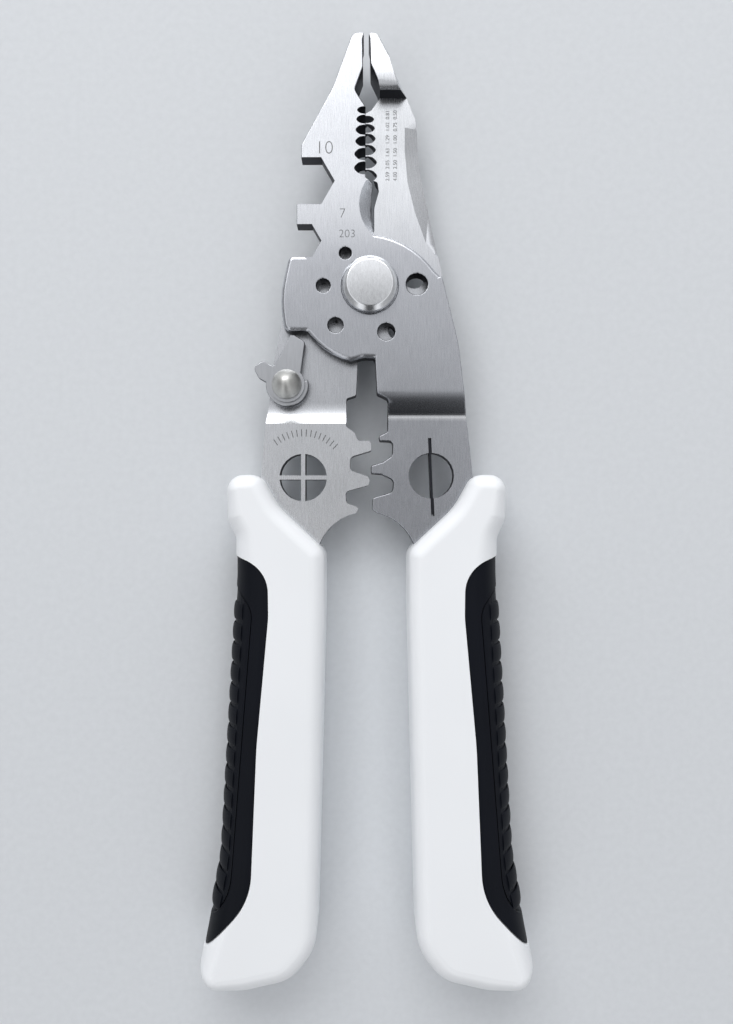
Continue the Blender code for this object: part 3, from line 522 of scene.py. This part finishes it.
def grip_block(name, shrink=0.0):
    """The whole left grip: a flat block with an outline rolled over, wide at the palm and tight inside."""
    points = resampled(rounded(GRIP_OUTLINE), GRIP_RING)
    count = len(points)
    outward, bend = [], []
    for i, here in enumerate(points):
        before, after = here - points[i - 1], points[(i + 1) % count] - here
        across = (before.normalized() + after.normalized()).normalized()
        outward.append(Vector((-across.y, across.x)))
        bend.append(before.cross(after) / (before.length * after.length) / before.length)
    if sum(bend) > 0:
        outward = [-normal for normal in outward]
        bend = [-value for value in bend]
    bend = smooth_ring(bend, BEND_BLEND)
    palm = []
    for here, normal in zip(points, outward):
        rear = -normal.y * END_SHARE if here.y < REAR_FROM else 0.0
        palm.append(max(0.0, min(1.0, max(-normal.x * PALM_GAIN, rear))))
    palm = smooth_ring(palm, PALM_BLEND)
    reach = [INNER_ROUND + (OUTER_ROUND - INNER_ROUND) * part for part in palm]
    reach = [min(inset, REACH_LIMIT / max(-curve, 1e-6)) for inset, curve in zip(reach, bend)]
    for _ in range(3):
        step = REACH_SLOPE * (points[1] - points[0]).length
        for order in (range(count), range(count - 1, -1, -1)):
            for i in order:
                reach[i] = min(reach[i], reach[i - 1] + step, reach[(i + 1) % count] + step)
    reach = smooth_ring(reach, REACH_BLEND)
    rise = [INNER_ROUND + (GRIP_HALF - INNER_ROUND) * part for part in palm]
    work = bmesh.new()
    rings = []
    for degrees in EDGE_TURNS:
        turn = math.radians(degrees)
        side = (degrees > 0) - (degrees < 0)
        ring = []
        for here, normal, inset, height in zip(points, outward, reach, rise):
            at = here - normal * (inset * (1 - math.cos(turn)) + shrink)
            z = side * (GRIP_HALF - height) + height * math.sin(turn)
            ring.append(work.verts.new(place(at.x, at.y, z * (1 - shrink / GRIP_HALF))))
        rings.append(ring)
    for low, high in zip(rings, rings[1:]):
        for i in range(count):
            j = (i + 1) % count
            work.faces.new((low[i], low[j], high[j], high[i]))
    work.faces.new(rings[0])
    work.faces.new(rings[-1])
    bmesh.ops.recalc_face_normals(work, faces=work.faces)
    return link(name, mesh_of(work, name))


def prism(name, outline, low, high):
    """An upright prism over an outline, for cutting."""
    work = bmesh.new()
    rings = [[work.verts.new(place(x, y, z)) for x, y in outline] for z in (low, high)]
    count = len(outline)
    for i in range(count):
        j = (i + 1) % count
        work.faces.new((rings[0][i], rings[0][j], rings[1][j], rings[1][i]))
    work.faces.new(rings[0])
    work.faces.new(rings[1])
    bmesh.ops.recalc_face_normals(work, faces=work.faces)
    return link(name, mesh_of(work, name))


def moved_in(outline, distance):
    """A closed outline moved inwards by a distance."""
    area = sum(a.cross(b) for a, b in zip(outline, outline[1:] + outline[:1]))
    turn = 1 if area > 0 else -1
    result = []
    for i, here in enumerate(outline):
        before = (here - outline[i - 1]).normalized()
        after = (outline[(i + 1) % len(outline)] - here).normalized()
        inward = Vector((-before.y - after.y, before.x + after.x)).normalized() * turn
        stretch = max(0.5, inward.dot(Vector((-before.y, before.x)) * turn))
        result.append(here + inward * distance / stretch)
    return result


def boolean(piece, other, operation):
    """Cuts a piece by another, which is then removed."""
    change = piece.modifiers.new(operation, "BOOLEAN")
    change.operation = operation
    change.object = other
    change.solver = "EXACT"
    plain(piece)
    bpy.data.objects.remove(other, do_unlink=True)
    return piece


def plain(piece):
    """Turns a piece into the mesh that its modifiers make, and takes them off."""
    bpy.context.view_layer.update()
    graph = bpy.context.evaluated_depsgraph_get()
    mesh = bpy.data.meshes.new_from_object(piece.evaluated_get(graph))
    piece.modifiers.clear()
    piece.data = mesh
    mesh.name = piece.name
    return piece


def seam_region(name, corners, distance):
    """A tall prism over the region inside a seam, moved in from it by a distance."""
    tall = GRIP_HALF + 1
    return prism(name, moved_in(rounded(corners), distance), -tall, tall)


def flank(name, shrink, corners, inner, finish):
    """A moulding in the side of the grip: the block inside one seam and outside the next."""
    piece = boolean(grip_block(name, shrink), seam_region("seam", corners, SHELL_SEAM), "INTERSECT")
    if inner:
        boolean(piece, seam_region("inner_seam", inner, -SHELL_SEAM), "DIFFERENCE")
    piece.data.materials.append(finish)
    return piece


def finish_grip(piece, mirrored):
    """Puts a grip piece on its side of the tool and shades it."""
    mesh = piece.data
    if mirrored:
        mesh.transform(Matrix.Scale(-1, 4, Vector((1, 0, 0))))
    work = bmesh.new()
    work.from_mesh(mesh)
    bmesh.ops.remove_doubles(work, verts=work.verts, dist=MERGE * MM)
    bmesh.ops.recalc_face_normals(work, faces=work.faces)
    work.to_mesh(mesh)
    work.free()
    shade_plate(mesh, math.radians(GRIP_CREASE))
    return piece


def make_grip(side, body):
    """The three mouldings of one grip: hard shell, soft pad and soft insert."""
    mirrored = side == "right"
    shell = grip_block(f"{side}_hard_shell")
    boolean(shell, seam_region("seam", PAD_EDGE, -SHELL_SEAM), "DIFFERENCE")
    boolean(shell, prism("tang_room", TANG, -TANG_HALF, TANG_HALF), "DIFFERENCE")
    shell.data.materials.append(WHITE_SHELL)
    pad = flank(f"{side}_soft_pad", PAD_SHRINK, PAD_EDGE, INSERT_EDGE, SOFT_PAD)
    insert = flank(f"{side}_soft_insert", INSERT_SHRINK, INSERT_EDGE, None, SOFT_PAD)
    for piece, node, slot in ((shell, "shell", "white_grip"), (pad, "pad", "soft_grip"),
                              (insert, "insert", "soft_grip")):
        dress(finish_grip(piece, mirrored), body, f"{side}_grip_{node}")


make_grip("left", BACK_BODY)
make_grip("right", FRONT_BODY)


# Ribs along the outside of each grip

RIB_PITCH = 4.3
RIB_WIDTH = 3.7
RIB_RISE = 0.32
RIB_REACH = (5.7, 6.4)  # half axes of the oval that the ribs follow round the grip
RIB_SWEEP = 110.0  # degrees round the side of the grip
RIB_SPAN = (-69.0, -131.0)
RIB_SETBACK = 5.9  # from the outline in to the oval's centre
OUTER_SIDE = -27.0  # the left grip's outline is its outer side where x is less


def open_tree(name, inputs):
    """A new geometry node tree with named inputs, and the sockets that give them."""
    tree = bpy.data.node_groups.new(name, "GeometryNodeTree")
    for title, kind in (("Geometry", "Geometry"), *inputs, ("Material", "Material")):
        tree.interface.new_socket(name=title, in_out="INPUT", socket_type=f"NodeSocket{kind}")
    tree.interface.new_socket(name="Geometry", in_out="OUTPUT", socket_type="NodeSocketGeometry")
    return tree, add_node(tree, "NodeGroupInput").outputs


def repeat_along(tree, given, line, piece):
    """Sets a piece on each point of a line, turned to follow it, and ends the tree."""
    along = add_node(tree, "GeometryNodeInputTangent")
    turn = add_node(tree, "FunctionNodeAlignRotationToVector", {"axis": "Y", "pivot_axis": "Z"},
                    {"Vector": along.outputs["Tangent"]})
    row = add_node(tree, "GeometryNodeInstanceOnPoints",
                   links={"Points": line, "Instance": piece, "Rotation": turn.outputs["Rotation"]})
    real = add_node(tree, "GeometryNodeRealizeInstances", links={"Geometry": row.outputs["Instances"]})
    faced = add_node(tree, "GeometryNodeSetMaterial",
                     links={"Geometry": real.outputs["Geometry"], "Material": given["Material"]})
    made = add_node(tree, "NodeGroupOutput")
    tree.links.new(faced.outputs["Geometry"], made.inputs["Geometry"])


def rib_tree():
    """Geometry nodes that set arched bars along a line, at a pitch."""
    sizes = ("Pitch", "Width", "Rise", "Reach Out", "Reach Up", "Sweep")
    tree, given = open_tree("ribs_along_a_line", [(title, "Float") for title in sizes])
    line = add_node(tree, "GeometryNodeMeshToCurve", links={"Mesh": given["Geometry"]})
    spots = add_node(tree, "GeometryNodeResampleCurve", {"mode": "LENGTH"},
                     {"Curve": line.outputs["Curve"], "Length": given["Pitch"]})
    half = add_node(tree, "ShaderNodeMath", {"operation": "MULTIPLY", 1: -0.5}, {0: given["Sweep"]})
    arc = add_node(tree, "GeometryNodeCurveArc", {"Resolution": 28, "Radius": 1.0},
                   {"Start Angle": half.outputs[0], "Sweep Angle": given["Sweep"]})
    reach = add_node(tree, "ShaderNodeCombineXYZ", {"Z": 1.0},
                     {"X": given["Reach Out"], "Y": given["Reach Up"]})
    oval = add_node(tree, "GeometryNodeTransform", {"Rotation": (math.pi / 2, 0, 0)},
                    {"Geometry": arc.outputs["Curve"], "Scale": reach.outputs["Vector"]})
    round_bar = add_node(tree, "GeometryNodeCurvePrimitiveCircle", {"Resolution": 16, "Radius": 0.5})
    section = add_node(tree, "ShaderNodeCombineXYZ", {"Z": 1.0}, {"X": given["Width"], "Y": given["Rise"]})
    bar = add_node(tree, "GeometryNodeTransform",
                   links={"Geometry": round_bar.outputs["Curve"], "Scale": section.outputs["Vector"]})
    rib = add_node(tree, "GeometryNodeCurveToMesh", {"Fill Caps": True},
                   {"Curve": oval.outputs["Geometry"], "Profile Curve": bar.outputs["Geometry"]})
    repeat_along(tree, given, spots.outputs["Curve"], rib.outputs["Mesh"])
    return tree


def with_nodes(piece, tree, **values):
    """Runs a node tree on a piece, with its inputs given by name, and keeps the plain result."""
    change = piece.modifiers.new(tree.name, "NODES")
    change.node_group = tree
    for socket in tree.interface.items_tree:
        name = socket.name.replace(" ", "_").lower()
        if socket.in_out == "INPUT" and name in values:
            change[socket.identifier] = values[name]
    return plain(piece)


def make_ribs(side, body, tree):
    """The ribs of one insert, along a line inside the grip's outer outline."""
    points = resampled(rounded(GRIP_OUTLINE), GRIP_RING)
    first, last = RIB_SPAN
    outer = sorted((p for p in points if p.x < OUTER_SIDE and last <= p.y <= first), key=lambda p: -p.y)
    line = [Vector((p.x + RIB_SETBACK, p.y)) for p in outer]
    if side == "right":
        line = [Vector((-p.x, p.y)) for p in reversed(line)]
    mesh = bpy.data.meshes.new(f"{side}_ribs")
    mesh.from_pydata([place(x, y) for x, y in line], [(i, i + 1) for i in range(len(line) - 1)], [])
    ribs = link(f"{side}_insert_ribs", mesh)
    with_nodes(ribs, tree, pitch=RIB_PITCH * MM, width=RIB_WIDTH * MM, rise=2 * RIB_RISE * MM,
               reach_out=RIB_REACH[0] * MM, reach_up=RIB_REACH[1] * MM, sweep=math.radians(RIB_SWEEP),
               material=SOFT_PAD)
    ribs.data.shade_smooth()
    dress(ribs, body, f"{side}_grip_insert")


rib_nodes = rib_tree()
make_ribs("left", BACK_BODY, rib_nodes)
make_ribs("right", FRONT_BODY, rib_nodes)


# Marks: plain numbers and ticks, as films that stand a hair off the steel

FILM = 0.02  # how far a mark stands off the steel
BACK_FACE = -0.1  # height of the back plate's face beside the teeth
JAW_SIZES = (
    # x of the column, and its wire sizes from the nose down
    (4.6, ("0.81", "1.02", "1.29", "1.63", "2.05", "2.59")),
    (6.25, ("0.50", "0.75", "1.00", "1.50", "2.50", "4.00")),
)
JAW_ROWS = (38.2, 35.6, 32.8, 30.0, 27.4, 24.8)
CROSS_AT = (-13.6, -40.7)
TICK_ARC = (9.6, 128.0, 44.0)  # radius, and first and last angle in degrees
TICK_COUNT = 15
TICK_SIZE = (1.5, 0.16)
DIGIT_SHARE = 0.7  # height of a digit as a share of its font size
SIZE_HEIGHT = 0.8
FRONT_NUMBERS = (
    # name, number, height, place, and how much each edge is drawn in to thin the strokes
    ("large_notch_size", "10", 2.8, (-8.95, 29.1), 0.09),
    ("small_notch_size", "7", 2.1, (-5.1, 15.2), 0.07),
    ("length_number", "203", 1.7, (-4.1, 10.9), 0.05),
)


def write(name, number, height, at, face, turn=0.0, thin=0.0):
    """A plain number as a thin film, height millimetres tall, centred on a place of a face."""
    font = bpy.data.curves.new(name, "FONT")
    font.body = number
    font.size = height / DIGIT_SHARE * MM
    font.align_x, font.align_y = "CENTER", "CENTER"
    font.extrude = FILM * MM
    font.offset = -thin * MM
    piece = put(name, font)
    bpy.context.view_layer.update()
    mesh = bpy.data.meshes.new_from_object(piece.evaluated_get(bpy.context.evaluated_depsgraph_get()))
    bpy.data.objects.remove(piece, do_unlink=True)
    mesh.transform(Matrix.Translation(place(*at, face)) @ Matrix.Rotation(math.radians(turn), 4, "Z"))
    work = bmesh.new()
    work.from_mesh(mesh)
    bmesh.ops.remove_doubles(work, verts=work.verts, dist=HAIR / 2 * MM)
    work.to_mesh(mesh)
    work.free()
    return link(name, mesh, ETCHED)


def merged(name, pieces):
    """Several pieces as one."""
    work = bmesh.new()
    for piece in pieces:
        work.from_mesh(piece.data)
        bpy.data.objects.remove(piece, do_unlink=True)
    return link(name, mesh_of(work, name), ETCHED)


def tick_tree():
    """Geometry nodes that set short upright bars on an arc, each along its radius."""
    tree, given = open_tree("ticks_on_an_arc", (
        ("Radius", "Float"), ("Start", "Float"), ("Sweep", "Float"), ("Count", "Int"), ("Bar", "Vector")))
    arc = add_node(tree, "GeometryNodeCurveArc",
                   links={"Resolution": given["Count"], "Radius": given["Radius"],
                          "Start Angle": given["Start"], "Sweep Angle": given["Sweep"]})
    bar = add_node(tree, "GeometryNodeMeshCube", links={"Size": given["Bar"]})
    repeat_along(tree, given, arc.outputs["Curve"], bar.outputs["Mesh"])
    return tree


def make_ticks():
    """The scale of ticks over the crossed window."""
    radius, first, last = TICK_ARC
    ticks = link("arm_ticks", bpy.data.meshes.new("arm_ticks"))
    with_nodes(ticks, tick_tree(), radius=radius * MM, start=math.radians(first),
               sweep=math.radians(last - first), count=TICK_COUNT, material=ETCHED,
               bar=(TICK_SIZE[0] * MM, TICK_SIZE[1] * MM, 2 * FILM * MM))
    ticks.data.transform(Matrix.Translation(place(*CROSS_AT, ARM_FACE)))
    dress(ticks, BACK_BODY, "back_lever")


for name, number, height, at, thin in FRONT_NUMBERS:
    dress(write(name, number, height, at, PLATE_FACE, thin=thin), FRONT_BODY, "front_lever")
sizes = [write(f"size_{x}_{row}", size, SIZE_HEIGHT, (x, row), BACK_FACE, turn=90)
         for x, column in JAW_SIZES for row, size in zip(JAW_ROWS, column)]
dress(merged("wire_sizes", sizes), BACK_BODY, "back_lever")
make_ticks()


# Studio

FLOOR_REACH = 3.0  # metres
FIBRE = 1.5  # size of the paper's fibres, drawn coarser than real ones so that they show


def make_floor():
    """A plain pale sheet of uncoated paper under the tool, matt with faint fibres."""
    made, tree, shader, where = new_material("pale_studio_paper")
    fibre = add_node(tree, "ShaderNodeTexNoise", {"Scale": 1 / (FIBRE * MM), "Detail": 3.0},
                     {"Vector": where})
    tint = add_node(tree, "ShaderNodeValToRGB", links={"Fac": fibre.outputs["Fac"]})
    set_stops(tint.color_ramp.elements, ((0.3, "D6D9DC"), (0.7, "DADDE0")))
    tree.links.new(tint.outputs["Color"], shader.inputs["Base Color"])
    shader.inputs["Roughness"].default_value = 0.9
    mesh = bpy.data.meshes.new("studio_floor")
    far = FLOOR_REACH
    corners = [(-far, -far, 0), (far, -far, 0), (far, far, 0), (-far, far, 0)]
    mesh.from_pydata(corners, [], [(0, 1, 2, 3)])
    mesh.materials.append(made)
    put("studio_floor", mesh)


def add_lamp(name, where, target, size, power):
    """A soft rectangular lamp, in metres and watts, turned to its target."""
    lamp = bpy.data.lights.new(name, "AREA")
    lamp.shape = "RECTANGLE"
    lamp.size, lamp.size_y = size
    lamp.energy = power
    made = put(name, lamp)
    made.location = where
    made.rotation_euler = (Vector(target) - Vector(where)).to_track_quat("-Z", "Y").to_euler()


# Brightness of the studio, from its dim front (-Y) to the soft box behind the nose (+Y)
STUDIO_ALONG = (
    (-1.0, 0.05),
    (-0.55, 0.06),
    (-0.3, 0.26),
    (0.02, 0.42),
    (0.12, 0.47),
    (0.23, 0.54),
    (0.3, 0.7),
    (0.36, 0.88),
    (0.43, 1.02),
    (0.55, 1.1),
    (1.0, 1.1),
)
# Brightness to the left and right, past the strip that the flat steel mirrors
STUDIO_ACROSS = (
    (-1.0, 0.3),
    (-0.66, 0.45),
    (-0.5, 1.1),
    (0.45, 1.1),
    (0.56, 0.54),
    (1.0, 0.4),
)
SIDE_BLEND = (0.18, 0.32)  # how far to the side the second row takes over from the first
SEEN_LEVEL = 0.95  # brightness where the camera sees past the floor


def brightness(tree, source, points):
    """The brightness that a row of (value, brightness) points gives for a value."""
    low, high = points[0][0], points[-1][0]
    top = max(level for _, level in points)
    at = add_node(tree, "ShaderNodeMapRange", {"From Min": low, "From Max": high}, {"Value": source})
    curve = add_node(tree, "ShaderNodeFloatCurve", links={"Value": at.outputs["Result"]})
    line = curve.mapping.curves[0]
    while len(line.points) < len(points):
        line.points.new(0.5, 0.5)
    for point, (value, level) in zip(line.points, points):
        point.location = ((value - low) / (high - low), level / top)
        point.handle_type = "AUTO_CLAMPED"
    curve.mapping.update()
    scaled = add_node(tree, "ShaderNodeMath", {"operation": "MULTIPLY", 1: top}, {0: curve.outputs["Value"]})
    return scaled.outputs[0]


def make_world():
    """A studio with a broad soft box behind the nose and a dim front, for the gradient on flat steel."""
    world = bpy.data.worlds.new("studio")
    bpy.context.scene.world = world
    world.use_nodes = True
    tree = world.node_tree
    background = tree.nodes["Background"]
    where = add_node(tree, "ShaderNodeTexCoord").outputs["Generated"]
    axes = add_node(tree, "ShaderNodeSeparateXYZ", links={"Vector": where})
    along = brightness(tree, axes.outputs["Y"], STUDIO_ALONG)
    across = brightness(tree, axes.outputs["X"], STUDIO_ACROSS)
    aside = add_node(tree, "ShaderNodeMath", {"operation": "ABSOLUTE"}, {0: axes.outputs["X"]})
    side = add_node(tree, "ShaderNodeMapRange", {"From Min": SIDE_BLEND[0], "From Max": SIDE_BLEND[1]},
                    {"Value": aside.outputs[0]})
    level = add_node(tree, "ShaderNodeMix", {"data_type": "FLOAT"},
                     {"Factor": side.outputs["Result"], "A": along, "B": across})
    path = add_node(tree, "ShaderNodeLightPath")
    seen = add_node(tree, "ShaderNodeMix", {"data_type": "FLOAT"},
                    {"Factor": path.outputs["Is Camera Ray"], "A": level.outputs["Result"]})
    seen.inputs["B"].default_value = SEEN_LEVEL
    tree.links.new(seen.outputs["Result"], background.inputs["Strength"])
    background.inputs["Color"].default_value = colour("FBFCFF")


def make_camera():
    """A camera straight above the middle of the tool."""
    camera = bpy.data.cameras.new("photograph_view")
    camera.lens = LENS
    camera.sensor_width = SENSOR
    camera.clip_start = 0.01
    camera.clip_end = 50
    made = put("photograph_view", camera)
    made.location = place(0.0, CAMERA_Y, CAMERA_HEIGHT)
    bpy.context.scene.camera = made


make_floor()
make_world()
# The key stands behind the nose, past what the flat jaws mirror
add_lamp("soft_key", (-0.15, 0.74, 0.54), (0, 0, 0), (0.9, 0.5), 4.2)
make_camera()
bpy.context.scene.view_settings.view_transform = "Standard"
